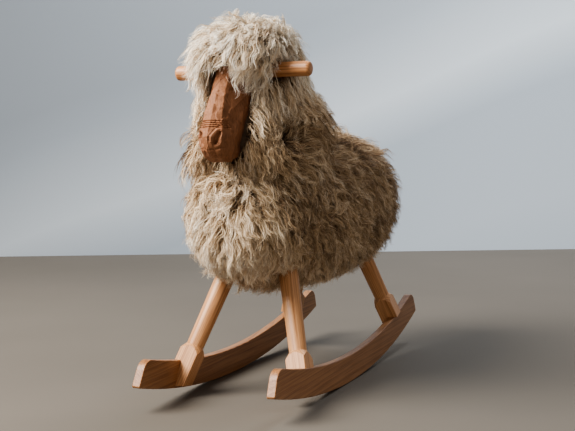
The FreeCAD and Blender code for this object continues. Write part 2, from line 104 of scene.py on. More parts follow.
def pine(name, grain, heart, light, dark, ring=0.0042, knots=0.0, roughness=0.42):
    """Softwood whose grain runs along the vector grain, with rings about a line through heart."""
    material, nodes, links, shader = new_material(name, roughness)
    coords = add_node(nodes, "ShaderNodeTexCoord")
    turn = Vector(grain).normalized().rotation_difference(Vector((0, 0, 1))).to_euler()
    shift = add_node(nodes, "ShaderNodeVectorMath", operation="SUBTRACT")
    shift.inputs[1].default_value = heart
    links.new(coords.outputs["Object"], shift.inputs[0])
    mapping = add_node(nodes, "ShaderNodeMapping")
    mapping.inputs["Rotation"].default_value = turn
    links.new(shift.outputs[0], mapping.inputs["Vector"])
    stretch = add_node(nodes, "ShaderNodeVectorMath", operation="MULTIPLY")
    stretch.inputs[1].default_value = (1, 1, 0.09)
    links.new(mapping.outputs[0], stretch.inputs[0])
    # slow wander of the rings along the board
    wander = add_node(nodes, "ShaderNodeTexNoise", Scale=14.0, Detail=2.0)
    links.new(stretch.outputs[0], wander.inputs["Vector"])
    offset = add_node(nodes, "ShaderNodeVectorMath", operation="SCALE")
    offset.inputs["Scale"].default_value = 0.012
    links.new(wander.outputs["Color"], offset.inputs[0])
    moved = add_node(nodes, "ShaderNodeVectorMath", operation="ADD")
    links.new(stretch.outputs[0], moved.inputs[0])
    links.new(offset.outputs[0], moved.inputs[1])
    rings = add_node(
        nodes,
        "ShaderNodeTexWave",
        wave_type="RINGS",
        rings_direction="Z",
        wave_profile="SAW",
        Scale=math.tau / 20 / ring,
        Distortion=0.6,
        Detail=1.0,
    )
    links.new(moved.outputs[0], rings.inputs["Vector"])
    bands = ramp(nodes, [(0.0, light), (0.5, tuple(0.75 * a + 0.25 * b for a, b in zip(light, dark))), (0.9, dark), (1.0, light)])
    links.new(rings.outputs["Color"], bands.inputs[0])
    # fine fibres
    fine_scale = add_node(nodes, "ShaderNodeVectorMath", operation="MULTIPLY")
    fine_scale.inputs[1].default_value = (1, 1, 0.22)
    links.new(stretch.outputs[0], fine_scale.inputs[0])
    fibres = add_node(nodes, "ShaderNodeTexNoise", Scale=420.0, Detail=4.0, Roughness=0.6)
    links.new(fine_scale.outputs[0], fibres.inputs["Vector"])
    fibre_tone = ramp(nodes, [(0.36, (0.62, 0.52, 0.44)), (0.56, (1.0, 1.0, 1.0))])
    links.new(fibres.outputs[0], fibre_tone.inputs[0])
    colour = mix(nodes, links, 0.85, bands.outputs[0], fibre_tone.outputs[0], "MULTIPLY")
    # broad patches of warmer and paler wood
    broad = add_node(nodes, "ShaderNodeTexNoise", Scale=9.0, Detail=2.0)
    links.new(stretch.outputs[0], broad.inputs["Vector"])
    broad_tone = ramp(nodes, [(0.35, (0.86, 0.8, 0.74)), (0.65, (1.08, 1.06, 1.05))])
    links.new(broad.outputs[0], broad_tone.inputs[0])
    colour = mix(nodes, links, 0.8, colour, broad_tone.outputs[0], "MULTIPLY")
    if knots:
        knot = add_node(nodes, "ShaderNodeTexVoronoi", Scale=7.0, Randomness=1.0)
        squash = add_node(nodes, "ShaderNodeVectorMath", operation="MULTIPLY")
        squash.inputs[1].default_value = (1, 1, 6.5)
        links.new(stretch.outputs[0], squash.inputs[0])
        links.new(squash.outputs[0], knot.inputs["Vector"])
        knot_mask = ramp(nodes, [(0.0, (1, 1, 1)), (knots, (0.6, 0.6, 0.6)), (knots * 1.7, (0, 0, 0))])
        links.new(knot.outputs["Distance"], knot_mask.inputs[0])
        colour = mix(nodes, links, knot_mask.outputs[0], colour, tuple(0.42 * c for c in dark))
    links.new(colour, shader.inputs["Base Color"])
    bump = add_node(nodes, "ShaderNodeBump", Strength=0.3, Distance=0.0006)
    links.new(fibres.outputs[0], bump.inputs["Height"])
    links.new(bump.outputs[0], shader.inputs["Normal"])
    return material


PINE_LIGHT = (0.62, 0.345, 0.172)
PINE_DARK = (0.36, 0.165, 0.07)
PINE_RED = (0.46, 0.228, 0.100)


def dress(node, material):
    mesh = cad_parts[node].data
    mesh.materials.clear()
    mesh.materials.append(material)


leg_way = {
    "front_left_leg": (-0.305, 0.406, 1),
    "front_right_leg": (0.305, 0.406, 1),
    "rear_left_leg": (-0.34, -0.406, 1),
    "rear_right_leg": (0.34, -0.406, 1),
}
for number, (node, way) in enumerate(leg_way.items()):
    low, high = (Vector(corner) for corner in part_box(node))
    heart = (low + high) / 2 + Vector((0.03 - 0.02 * number, 0.045, 0.0))
    way = REST.to_3x3() @ Vector(way)
    dress(node, pine(node + "_pine", way, heart, PINE_LIGHT, PINE_RED, 0.0036, 0.05 if number < 2 else 0.0))
# the rockers' pine is darker and redder than the legs': part of that is the wood's own colour and part is painted
# shade
for node, side in (("left_rocker", 1), ("right_rocker", -1)):
    low, high = (Vector(corner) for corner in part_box(node))
    heart = (low + high) / 2 + Vector((0.035 * side, 0, -0.06))
    dress(node, pine(node + "_pine", (0, 1, 0.02), heart, (0.360, 0.182, 0.082), (0.270, 0.128, 0.054), 0.0085))
low, high = (Vector(corner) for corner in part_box("handle_bar"))
handle_middle = (low + high) / 2
handle_radius = (high.z - low.z) / 2
handle_half = (high.x - low.x) / 2
dress(
    "handle_bar",
    pine("handle_pine", (1, 0, 0), handle_middle + Vector((0, 0.02, 0.03)), (0.6, 0.31, 0.145), (0.4, 0.18, 0.075), 0.004),
)
for node in ("body_block", "neck_post", "rocker_dowels", "head_dowels", "handle_pin"):
    dress(node, pine(node + "_pine", (0, 0.2, 1), (0.03, 0.02, 0.0), (0.66, 0.46, 0.27), (0.45, 0.27, 0.13), 0.005))
for node in ("leg_screws", "neck_bolts"):
    steel, nodes, links, shader = new_material(node + "_steel", 0.35)
    shader.inputs["Metallic"].default_value = 1.0
    grit = add_node(nodes, "ShaderNodeTexNoise", Scale=220.0, Detail=3.0)
    tone = ramp(nodes, [(0.3, (0.42, 0.42, 0.43)), (0.7, (0.62, 0.62, 0.63))])
    links.new(grit.outputs[0], tone.inputs[0])
    links.new(tone.outputs[0], shader.inputs["Base Color"])
    dress(node, steel)


# ---------------------------------------------------------------- helpers for meshes
def mesh_object(name, vertices, faces, material=None, smooth=True):
    mesh = bpy.data.meshes.new(name)
    mesh.from_pydata([tuple(v) for v in vertices], [], [tuple(f) for f in faces])
    mesh.update()
    if smooth:
        mesh.shade_smooth()
    made = bpy.data.objects.new(name, mesh)
    bpy.context.collection.objects.link(made)
    if material:
        mesh.materials.append(material)
    return made


def smoothstep(value, low, high):
    t = np.clip((value - low) / (high - low), 0, 1)
    return t * t * (3 - 2 * t)


def unit(vectors):
    return vectors / np.maximum(np.linalg.norm(vectors, axis=-1, keepdims=True), 1e-9)


# ---------------------------------------------------------------- carved head
# level, then Y and half width at the nose's middle line, the front corner, the cheek and the back
HEAD_LEVELS = (
    (0.4060, -0.350, -0.347, 0.0125, -0.326, 0.0180, -0.308, 0.0130),
    (0.4140, -0.368, -0.363, 0.0145, -0.333, 0.0225, -0.302, 0.0155),
    (0.4240, -0.379, -0.370, 0.0180, -0.337, 0.0262, -0.290, 0.0180),
    (0.4460, -0.3835, -0.372, 0.0215, -0.336, 0.0298, -0.268, 0.0205),
    (0.4600, -0.3765, -0.367, 0.0198, -0.328, 0.0314, -0.252, 0.0220),
    (0.4860, -0.3640, -0.358, 0.0160, -0.314, 0.0330, -0.234, 0.0235),
    (0.5200, -0.3440, -0.340, 0.0125, -0.293, 0.0345, -0.205, 0.0245),
    (0.5450, -0.3300, -0.326, 0.0120, -0.276, 0.0350, -0.188, 0.0250),
    (0.6000, -0.2925, -0.289, 0.0140, -0.244, 0.0340, -0.184, 0.0245),
)


def carved_head():
    table = np.array(HEAD_LEVELS)
    bottom = np.array([0.4060, 0.4066, 0.4078, 0.4096])
    levels = np.concatenate(
        [bottom, np.linspace(0.4112, 0.4280, 15), np.linspace(0.4286, 0.4760, 96), np.linspace(0.4772, 0.6000, 96)]
    )
    shrink = 1 - 0.16 * np.clip(1 - (levels - 0.4060) / 0.0052, 0, 1) ** 2
    rows = []
    for level, near in zip(levels, shrink):
        nose, corner, corner_half, cheek, cheek_half, back, back_half = (
            np.interp(level, table[:, 0], table[:, i]) for i in range(1, 8)
        )
        right = [(0.0, nose), (corner_half, corner), (cheek_half, cheek), (back_half, back), (0.0, back)]
        path = []
        for (a, b), count in zip(zip(right, right[1:]), (28, 42, 20, 10)):
            steps = np.linspace(0, 1, count, endpoint=False)[:, None]
            path.append(np.array(a) * (1 - steps) + np.array(b) * steps)
        half = np.vstack(path + [np.array([right[-1]])])
        mirror = half[1:-1][::-1] * np.array([-1, 1])
        ring = np.vstack([half, mirror])
        # the knife leaves slightly softened ridges
        for _ in range(2):
            ring = 0.5 * ring + 0.25 * (np.roll(ring, 1, 0) + np.roll(ring, -1, 0))
        middle = ring.mean(0)
        ring = middle + (ring - middle) * near
        rows.append(np.column_stack([ring, np.full(len(ring), level)]))
    grid = np.array(rows)
    for _ in range(2):
        grid[1:-1] = 0.5 * grid[1:-1] + 0.25 * (grid[2:] + grid[:-2])
    count_levels, count_ring, _ = grid.shape
    along = np.roll(grid, -1, 1) - np.roll(grid, 1, 1)
    up = np.gradient(grid, axis=0)
    outward = unit(np.cross(along, up))
    if (outward[:, 0, 1] > 0).mean() > 0.5:
        outward = -outward
    # chisel facets: each nearest seed owns a slightly tilted plane
    flat = grid.reshape(-1, 3)
    seeds = flat[rng.choice(len(flat), 190, replace=False)] + rng.normal(0, 0.002, (190, 3))
    reach = np.array([1.0, 1.0, 0.62])
    gap = ((flat[:, None, :] - seeds[None]) * reach) ** 2
    owner = gap.sum(2).argmin(1)
    tilt = rng.normal(0, 0.095, (190, 3))
    height = rng.normal(0, 0.00022, 190)
    chisel = height[owner] + ((flat - seeds[owner]) * tilt[owner]).sum(1)
    chisel = np.clip(chisel, -0.0015, 0.0015).reshape(count_levels, count_ring)
    x, y, z = grid[..., 0], grid[..., 1], grid[..., 2]
    front = outward[..., 1] < -0.35
    push = chisel
    # almond nostrils with a raised rim
    for side in (1, -1):
        across = (x - side * 0.0148) * side
        rise = z - 0.4440
        tilted_across = across * math.cos(0.36) - rise * math.sin(0.36)
        tilted_rise = across * math.sin(0.36) + rise * math.cos(0.36)
        narrow = 0.0057 * np.sqrt(np.clip(1 - (tilted_rise / 0.0120) ** 2, 0, 1)) + 1e-5
        inside = np.clip(1 - np.abs(tilted_across) / narrow, 0, 1) * (np.abs(tilted_rise) < 0.0120) * front
        push = push - 0.0058 * smoothstep(inside, 0.0, 0.75)
        ring_distance = np.sqrt((tilted_across / 0.0082) ** 2 + (tilted_rise / 0.0152) ** 2)
        rim = np.exp(-(((ring_distance - 1.0) / 0.16) ** 2)) * front
        push = push + 0.0011 * rim * (inside <= 0)
        groove = np.exp(-(((ring_distance - 1.42) / 0.1) ** 2)) * front
        push = push - 0.0008 * groove
    # four wrinkles over the bridge
    for number in range(4):
        level = 0.4610 + 0.0034 * number + 0.0016 * np.cos(x / 0.012) * 0.4
        groove = np.exp(-(((z - level) / 0.0008) ** 2)) * smoothstep(-y, 0.343, 0.350)
        push = push - 0.0020 * groove
    # the mouth: a shallow cut round the front of the chin
    mouth = np.exp(-(((z - (0.4235 + 0.18 * np.abs(x))) / 0.0009) ** 2)) * smoothstep(-y, 0.349, 0.36)
    push = push - 0.0013 * mouth
    cleft = np.exp(-((x / 0.0011) ** 2)) * smoothstep(0.430 - z, 0.0, 0.004) * front
    push = push - 0.0009 * cleft
    grid = grid + outward * push[..., None]
    vertices = grid.reshape(-1, 3)
    faces = []
    for i in range(count_levels - 1):
        for j in range(count_ring):
            k = (j + 1) % count_ring
            faces.append((i * count_ring + j, i * count_ring + k, (i + 1) * count_ring + k, (i + 1) * count_ring + j))
    faces.append(tuple(reversed(range(count_ring))))
    faces.append(tuple((count_levels - 1) * count_ring + j for j in range(count_ring)))
    return at_rest(vertices), faces


face_material, nodes, links, shader = new_material("face_wood", 0.6)
shader.inputs["Specular IOR Level"].default_value = 0.22
coords = add_node(nodes, "ShaderNodeTexCoord")
stretch = add_node(nodes, "ShaderNodeVectorMath", operation="MULTIPLY")
stretch.inputs[1].default_value = (1, 1, 0.16)
links.new(coords.outputs["Object"], stretch.inputs[0])
grain = add_node(nodes, "ShaderNodeTexNoise", Scale=420.0, Detail=4.0, Roughness=0.62)
links.new(stretch.outputs[0], grain.inputs["Vector"])
grain_tone = ramp(nodes, [(0.28, (0.180, 0.078, 0.038)), (0.55, (0.270, 0.124, 0.063)), (0.8, (0.335, 0.163, 0.088))])
links.new(grain.outputs[0], grain_tone.inputs[0])
patch = add_node(nodes, "ShaderNodeTexNoise", Scale=38.0, Detail=3.0)
links.new(coords.outputs["Object"], patch.inputs["Vector"])
patch_tone = ramp(nodes, [(0.34, (0.86, 0.82, 0.8)), (0.66, (1.08, 1.05, 1.04))])
links.new(patch.outputs[0], patch_tone.inputs[0])
face_colour = mix(nodes, links, 0.85, grain_tone.outputs[0], patch_tone.outputs[0], "MULTIPLY")
links.new(face_colour, shader.inputs["Base Color"])
bump = add_node(nodes, "ShaderNodeBump", Strength=0.22, Distance=0.0005)
links.new(grain.outputs[0], bump.inputs["Height"])
links.new(bump.outputs[0], shader.inputs["Normal"])

head_vertices, head_faces = carved_head()
head = mesh_object("carved_face", head_vertices, head_faces, face_material)
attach(head, "root")
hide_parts("head_block")

# ---------------------------------------------------------------- hide under the wool
hide_source = []
offset = 0
joined_vertices = []
joined_faces = []
for node in ("body_padding", "neck_padding", "head_padding", "body_block", "neck_post"):
    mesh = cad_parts[node].data
    spots = np.empty(len(mesh.vertices) * 3)
    mesh.vertices.foreach_get("co", spots)
    joined_vertices.append(spots.reshape(-1, 3))
    joined_faces += [[offset + v for v in polygon.vertices] for polygon in mesh.polygons]
    offset += len(mesh.vertices)


def join(vertices, faces):
    """Adds one more closed shape to what the hide is stretched over."""
    global offset
    joined_vertices.append(np.asarray(vertices, float))
    joined_faces.extend([[offset + v for v in face] for face in faces])
    offset += len(vertices)


def ball(centre, radii, rings=16, around=28):
    turn = np.linspace(0, math.tau, around, endpoint=False)
    rows = []
    for height in np.linspace(-math.pi / 2 + 0.08, math.pi / 2 - 0.08, rings):
        rows.append(np.column_stack([np.cos(turn) * math.cos(height), np.sin(turn) * math.cos(height), np.full(around, math.sin(height))]))
    vertices = np.vstack(rows) * radii + centre
    faces = []
    for i in range(rings - 1):
        for j in range(around):
            k = (j + 1) % around
            faces.append((i * around + j, i * around + k, (i + 1) * around + k, (i + 1) * around + j))
    faces.append(tuple(reversed(range(around))))
    faces.append(tuple((rings - 1) * around + j for j in range(around)))
    return vertices, faces


# the crown of the head, and the edge of the skin that is drawn tight round the face
join(*ball(np.array([0, -0.208, 0.590]), np.array([0.066, 0.098, 0.047])))
join(*ball(np.array([0, -0.150, 0.485]), np.array([0.093, 0.088, 0.062])))
join(*ball(np.array([0, -0.222, 0.432]), np.array([0.080, 0.058, 0.050])))
collar = []
for level, front, half, back in ((0.428, -0.306, 0.036, -0.240), (0.455, -0.303, 0.040, -0.225), (0.500, -0.287, 0.041, -0.205), (0.560, -0.272, 0.042, -0.185), (0.596, -0.258, 0.040, -0.180)):
    collar += [(-half, front, level), (half, front, level), (half + 0.012, back, level), (-half - 0.012, back, level)]
collar_faces = [(3, 2, 1, 0), (16, 17, 18, 19)]
for i in range(4):
    for j in range(4):
        k = (j + 1) % 4
        collar_faces.append((i * 4 + j, i * 4 + k, i * 4 + 4 + k, i * 4 + 4 + j))
join(at_rest(collar), collar_faces)
rough_hide = mesh_object("rough_hide", np.vstack(joined_vertices), joined_faces, smooth=False)
remesh = rough_hide.modifiers.new("skin", "REMESH")
remesh.mode = "VOXEL"
remesh.voxel_size = 0.0075
ease = rough_hide.modifiers.new("ease", "SMOOTH")
ease.factor = 0.6
ease.iterations = 7
hide_mesh = bpy.data.meshes.new_from_object(rough_hide.evaluated_get(bpy.context.evaluated_depsgraph_get()))
bpy.data.objects.remove(rough_hide)


def largest_shell(mesh):
    """Triangles and vertices of the outermost connected shell of the mesh."""
    mesh.calc_loop_triangles()
    triangles = np.empty(len(mesh.loop_triangles) * 3, int)
    mesh.loop_triangles.foreach_get("vertices", triangles)
    triangles = triangles.reshape(-1, 3)
    spots = np.empty(len(mesh.vertices) * 3)
    mesh.vertices.foreach_get("co", spots)
    spots = spots.reshape(-1, 3)
    label = np.arange(len(spots))
    while True:
        lowest = label[triangles].min(1)
        before = label.copy()
        for corner in range(3):
            np.minimum.at(label, triangles[:, corner], lowest)
        label = label[label]
        if (label == before).all():
            break
    kinds, counts = np.unique(label[triangles[:, 0]], return_counts=True)
    keep = label[triangles[:, 0]] == kinds[counts.argmax()]
    return spots, triangles[keep]


hide_spots, hide_triangles = largest_shell(hide_mesh)
used, renumbered = np.unique(hide_triangles, return_inverse=True)
hide_spots = hide_spots[used]
hide_triangles = renumbered.reshape(-1, 3)

# the hide is coloured dark brown as painted shade, for the depth of the fleece where it shows between the locks
hide_material, nodes, links, shader = new_material("hide_leather", 0.9)
coords = add_node(nodes, "ShaderNodeTexCoord")
mottle = add_node(nodes, "ShaderNodeTexNoise", Scale=60.0, Detail=5.0)
links.new(coords.outputs["Object"], mottle.inputs["Vector"])
mottle_tone = ramp(nodes, [(0.3, (0.085, 0.055, 0.036)), (0.7, (0.2, 0.145, 0.1))])
links.new(mottle.outputs[0], mottle_tone.inputs[0])
links.new(mottle_tone.outputs[0], shader.inputs["Base Color"])
hide = mesh_object("fleece_hide", hide_spots, hide_triangles, hide_material)
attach(hide, "root")
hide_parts("body_padding", "neck_padding", "head_padding")

# ---------------------------------------------------------------- wool
# seven plain wool tones, darkest to palest; the darkest ones serve the painted shade at the strands' roots
TONES = (
    (0.040, 0.021, 0.011),
    (0.125, 0.071, 0.036),
    (0.275, 0.176, 0.100),
    (0.480, 0.338, 0.203),
    (0.680, 0.525, 0.355),
    (0.845, 0.715, 0.550),
    (0.920, 0.860, 0.765),
)
wool_materials = []
for number, tone in enumerate(TONES):
    wool, nodes, links, shader = new_material(f"wool_{number}", 0.82)
    shader.inputs["Base Color"].default_value = (*tone, 1)
    shader.inputs["Sheen Weight"].default_value = 0.25
    shader.inputs["Sheen Roughness"].default_value = 0.5
    shader.inputs["Specular IOR Level"].default_value = 0.25
    wool_materials.append(wool)

POINTS = 11
STRANDS = 20
CELL = 0.0092


def value_noise(points, scale, seed):
    """Smooth noise from -1 to 1 at each point."""
    grid = np.random.default_rng(seed).uniform(-1, 1, (32, 32, 32))
    p = points * scale + 16.37
    base = np.floor(p).astype(int)
    f = p - base
    f = f * f * (3 - 2 * f)
    total = np.zeros(len(points))
    for dx in (0, 1):
        for dy in (0, 1):
            for dz in (0, 1):
                weight = (
                    (f[:, 0] if dx else 1 - f[:, 0])
                    * (f[:, 1] if dy else 1 - f[:, 1])
                    * (f[:, 2] if dz else 1 - f[:, 2])
                )
                total += weight * grid[(base[:, 0] + dx) % 32, (base[:, 1] + dy) % 32, (base[:, 2] + dz) % 32]
    return total


def noise_vector(points, scale, seed):
    return np.column_stack([value_noise(points, scale, seed + i) for i in range(3)])


def sample_roots():
    a, b, c = (hide_spots[hide_triangles[:, i]] for i in range(3))
    cross = np.cross(b - a, c - a)
    area = np.linalg.norm(cross, axis=1) / 2
    pick = rng.choice(len(area), 150000, p=area / area.sum())
    u, v = rng.random(len(pick)), rng.random(len(pick))
    swap = u + v > 1
    u[swap], v[swap] = 1 - u[swap], 1 - v[swap]
    spots = a[pick] + (b - a)[pick] * u[:, None] + (c - a)[pick] * v[:, None]
    # smooth normals from the corners
    corner_normals = np.zeros_like(hide_spots)
    for i in range(3):
        np.add.at(corner_normals, hide_triangles[:, i], cross)
    corner_normals = unit(corner_normals)
    t = hide_triangles[pick]
    normals = unit(
        corner_normals[t[:, 0]] * (1 - u - v)[:, None]
        + corner_normals[t[:, 1]] * u[:, None]
        + corner_normals[t[:, 2]] * v[:, None]
    )
    cells = np.floor(spots / CELL).astype(int)
    _, first = np.unique(cells, axis=0, return_index=True)
    return spots[first], normals[first]


roots, normals = sample_roots()

# legs, as lines, keep the wool off them
leg_lines = []
for end, y, z, lean, toward, reach in (
    ("front", -0.242, 0.058, 0.305, 0.406, 0.30),
    ("rear", 0.2495, 0.110, 0.34, -0.406, 0.26),
):
    for side in (1, -1):
        a = np.array([side * 0.1056, y, z])
        way = unit(np.array([-side * lean, toward, 1.0]))
        leg_lines.append((at_rest(a), at_rest(a + way * reach)))


def near_line(points, a, b):
    span = b - a
    t = np.clip(((points - a) @ span) / (span @ span), 0, 1)
    foot = a + t[..., None] * span
    away = points - foot
    return np.linalg.norm(away, axis=-1), away, foot


keep = np.ones(len(roots), bool)
for a, b in leg_lines:
    distance, _, _ = near_line(roots, a, b)
    keep &= distance > 0.023
handle_a = np.array([-0.2, handle_middle.y, handle_middle.z])
handle_b = np.array([0.2, handle_middle.y, handle_middle.z])
distance, _, _ = near_line(roots, handle_a, handle_b)
keep &= distance > 0.020
roots, normals = roots[keep], normals[keep]

head_table = np.array(HEAD_LEVELS)


def head_shape(points, margin):
    """How far inside the carved head each point is, below 1 when inside, with the way out."""
    local = (points - REST_SHIFT) @ REST_ROTATION
    level = np.clip(local[..., 2], head_table[0, 0], head_table[-1, 0])
    front = np.interp(level, head_table[:, 0], head_table[:, 1]) - margin
    back = np.interp(level, head_table[:, 0], head_table[:, 6])
    half = np.interp(level, head_table[:, 0], head_table[:, 5]) + margin
    middle = (front + back) / 2
    depth = (back - front) / 2
    u = local[..., 0] / half
    v = (local[..., 1] - middle) / depth
    q = (np.abs(u) ** 3.2 + np.abs(v) ** 3.2) ** (1 / 3.2)
    inside = (q < 1) & (local[..., 2] > head_table[0, 0] - margin) & (local[..., 2] < 0.603)
    return local, middle, q, inside


# roots under the carved face would only push through it
_, _, _, under = head_shape(roots, 0.0015)
roots, normals = roots[~under], normals[~under]

count = len(roots)
x, y, z = roots.T
CROWN = np.array([0.0, -0.185, 0.70])
head_weight = smoothstep(z, 0.475, 0.545) * (y < -0.06)
body_weight = smoothstep(y, -0.13, 0.02) * smoothstep(0.5 - z, 0.0, 0.06)
top = smoothstep(normals[:, 2], 0.35, 0.9)
belly = smoothstep(-normals[:, 2], 0.2, 0.8)
chest = smoothstep(-normals[:, 1], 0.2, 0.7) * (1 - head_weight) * (1 - body_weight)
side_sign = np.sign(x + 1e-6)

down = np.tile([0.0, 0.0, -1.0], (count, 1))
flow = down + np.outer(0.16 * np.ones(count), [0, 1, 0])
flow += body_weight[:, None] * np.array([0, 0.95, 0.30])
flow += (body_weight * top)[:, None] * np.array([0, 0.9, 0.5])
flow[:, 0] += body_weight * top * side_sign * 0.35
flow += chest[:, None] * np.array([0, 0.0, -0.2])
flow[:, 0] += chest * side_sign * 0.12
radial = unit(roots - CROWN)
forelock = head_weight * smoothstep(-y, 0.215, 0.255) * smoothstep(0.085 - np.abs(x), 0.0, 0.04)
flow = flow * (1 - head_weight[:, None]) + head_weight[:, None] * (radial + np.array([0, 0.05, -0.35]))
flow += (head_weight * forelock)[:, None] * np.array([0.22, -0.55, -0.45])
flow += noise_vector(roots, 11.0, 5) * (0.42 + 0.25 * head_weight[:, None])
flow += noise_vector(roots, 30.0, 11) * 0.75
flow += rng.normal(0, 0.28, (count, 3))
# a whorl of curls on each cheek and on the lower flank behind each front leg
for spot, size, strength in (
    ((0.105, -0.245, 0.468), 0.058, 3.2),
    ((-0.105, -0.255, 0.465), 0.05, 1.3),
    ((0.13, -0.10, 0.215), 0.05, 1.4),
    ((-0.13, -0.10, 0.215), 0.05, 1.2),
    ((0.12, -0.15, 0.33), 0.050, 1.8),
    ((0.115, -0.215, 0.29), 0.045, 2.0),
    ((0.09, -0.29, 0.39), 0.04, 1.0),
):
    away = roots - np.array(spot)
    near = np.exp(-((np.linalg.norm(away, axis=1) / size) ** 2))
    swirl = unit(np.cross(normals, away) + 1e-9)
    flow = flow * (1 - 0.6 * near[:, None]) + swirl * (strength * near)[:, None]
flow = unit(flow - (flow * normals).sum(1, keepdims=True) * normals * 0.92)

# fuller behind the neck, along the back and rump, and at the throat's sides
fuller = 0.38 * np.exp(-(((z - 0.47) / 0.06) ** 2)) * smoothstep(normals[:, 1], -0.2, 0.7)
fuller += 0.34 * body_weight * smoothstep(normals[:, 2] + 0.6 * normals[:, 1], 0.0, 0.8)
fuller += 0.12 * np.exp(-(((z - 0.440) / 0.035) ** 2)) * smoothstep(np.abs(x), 0.03, 0.06) * (y < -0.12)
fuller -= 0.22 * np.exp(-(((z - 0.352) / 0.032) ** 2)) * smoothstep(-y, 0.16, 0.22)
length = 0.056 * rng.lognormal(0, 0.13, count) * (1 + fuller)
length *= 1 - 0.22 * belly
# curled up shorter on the near cheek and down the breast's left side
curled = np.exp(-((np.linalg.norm(roots - np.array([0.105, -0.245, 0.465]), axis=1) / 0.055) ** 2))
curled += np.exp(-((np.linalg.norm((roots - np.array([0.118, -0.185, 0.31])) * (1, 1, 0.6), axis=1) / 0.05) ** 2))
length *= 1 - 0.2 * curled
length *= 1 + 0.10 * head_weight + 0.12 * forelock
length *= 1 + 0.12 * value_noise(roots, 16.0, 31)
lift = 0.62 + 0.6 * fuller + 0.42 * body_weight * top + 0.5 * head_weight * (1 - forelock) - 0.12 * chest + 0.2 * rng.normal(0, 1, count)

tip_curl = rng.normal(0, 0.75, count) * (1 + 1.2 * curled)
steps = np.linspace(0, 1, POINTS)
guide = np.empty((count, POINTS, 3))
guide[:, 0] = roots
droop = np.array([0, 0, -1.0])
for k in range(1, POINTS):
    t = (k - 0.5) / (POINTS - 1)
    way = (
        normals * ((1.05 * (1 - t) ** 1.3 + 0.2) * lift)[:, None]
        + flow * (0.3 + 1.05 * t)
        + droop * (0.05 + 0.4 * t)
    )
    hook = np.cross(normals, flow)
    way = way + hook * (tip_curl * smoothstep(t, 0.45, 1.0))[:, None]
    guide[:, k] = guide[:, k - 1] + unit(way) * (length / (POINTS - 1))[:, None]

tangent = unit(np.gradient(guide, axis=1))
side = unit(np.cross(tangent, normals[:, None, :] + 0.15 * rng.normal(0, 1, (count, 1, 3))))
lift_way = unit(np.cross(side, tangent))
turns = rng.uniform(1.3, 2.6, count)[:, None]
phase = rng.uniform(0, math.tau, count)[:, None]
phase2 = rng.uniform(0, math.tau, count)[:, None]
amount = (rng.uniform(0.0022, 0.0055, count) * (1 - 0.2 * belly))[:, None]
grow = steps[None] ** 0.7
wave = amount * grow * np.sin(math.tau * turns * steps[None] + phase)
wave2 = 0.7 * amount * grow * np.sin(math.tau * turns * steps[None] + phase2)
guide = guide + side * wave[..., None] + lift_way * wave2[..., None]

# strands about each guide
lock = np.repeat(np.arange(count), STRANDS)
total = len(lock)
spread = 0.0062
root_side = rng.normal(0, spread * 0.62, total)
root_lift = rng.normal(0, spread * 0.62, total)
clump = np.repeat(rng.uniform(0.32, 0.8, count), STRANDS)
reach = 1 - 0.34 * rng.random(total) ** 1.6
short = (rng.random(total) < 0.16)
reach[short] *= rng.uniform(0.45, 0.75, short.sum())
frizz = rng.normal(0, 0.0031, (total, 2))
frizz_turns = rng.uniform(0.6, 1.8, total)
frizz_phase = rng.uniform(0, math.tau, total)

first_side = np.cross(normals, flow)
first_side = unit(first_side)
first_other = np.cross(normals, first_side)
points = np.empty((total, POINTS, 3))
for k in range(POINTS):
    t = steps[k] * reach
    place = t * (POINTS - 1)
    low_index = np.clip(np.floor(place).astype(int), 0, POINTS - 2)
    part = (place - low_index)[:, None]
    spot = guide[lock, low_index] * (1 - part) + guide[lock, low_index + 1] * part
    along_side = side[lock, low_index]
    along_lift = lift_way[lock, low_index]
    near = np.clip(t / 0.35, 0, 1)[:, None]
    axis_a = unit(first_side[lock] * (1 - near) + along_side * near)
    axis_b = unit(first_other[lock] * (1 - near) + along_lift * near)
    gather = 1 - clump * smoothstep(t, 0.05, 0.95)
    curl = np.sin(math.tau * frizz_turns * t + frizz_phase) * t
    points[:, k] = (
        spot
        + axis_a * (root_side * gather + frizz[:, 0] * curl)[:, None]
        + axis_b * (root_lift * gather + frizz[:, 1] * curl)[:, None]
    )

# no lock stands out far to the side
wide = np.interp(points[..., 2], [0.30, 0.36, 0.42, 0.47, 0.51, 0.56, 0.64], [0.134, 0.126, 0.128, 0.118, 0.092, 0.074, 0.062])
wide -= 0.008 * (points[..., 0] < 0) * smoothstep(points[..., 2], 0.48, 0.54)
wide -= 0.022 * (points[..., 0] < 0) * np.exp(-(((points[..., 2] - 0.39) / 0.04) ** 2))
over = np.maximum(np.abs(points[..., 0]) - wide, 0)
points[..., 0] -= np.sign(points[..., 0]) * over * 0.42
# the wool lies round the carved face, over the forehead only as a forelock
local, middle, q, inside = head_shape(points, 0.0025)
scale = np.where(inside, 1 / np.maximum(q, 0.25), 1.0)
local[..., 0] *= scale
local[..., 1] = middle + (local[..., 1] - middle) * scale
points = local @ REST_ROTATION.T + REST_SHIFT
lowest_lock = (
    0.564
    + 0.010 * rng.normal(0, 1, (total, 1))
    - 0.050 * smoothstep(local[:, :, 0], 0.008, 0.036)
    - 0.045 * smoothstep(-local[:, :, 0], 0.016, 0.034)
)
in_front = (
    (np.abs(local[..., 0]) < 0.036)
    & (local[..., 1] < np.interp(local[..., 2], [0.431, 0.483, 0.517, 0.56], [-0.324, -0.298, -0.294, -0.27]))
    & (local[..., 2] < lowest_lock)
    & (local[..., 2] > 0.402)
)
cheek_cover = (
    (np.abs(local[..., 0]) < 0.054)
    & (local[..., 1] < np.interp(local[..., 2], [0.431, 0.483, 0.517], [-0.330, -0.305, -0.302]))
    & (local[..., 2] < 0.500)
    & (local[..., 2] > 0.402)
)
blocked = in_front | cheek_cover
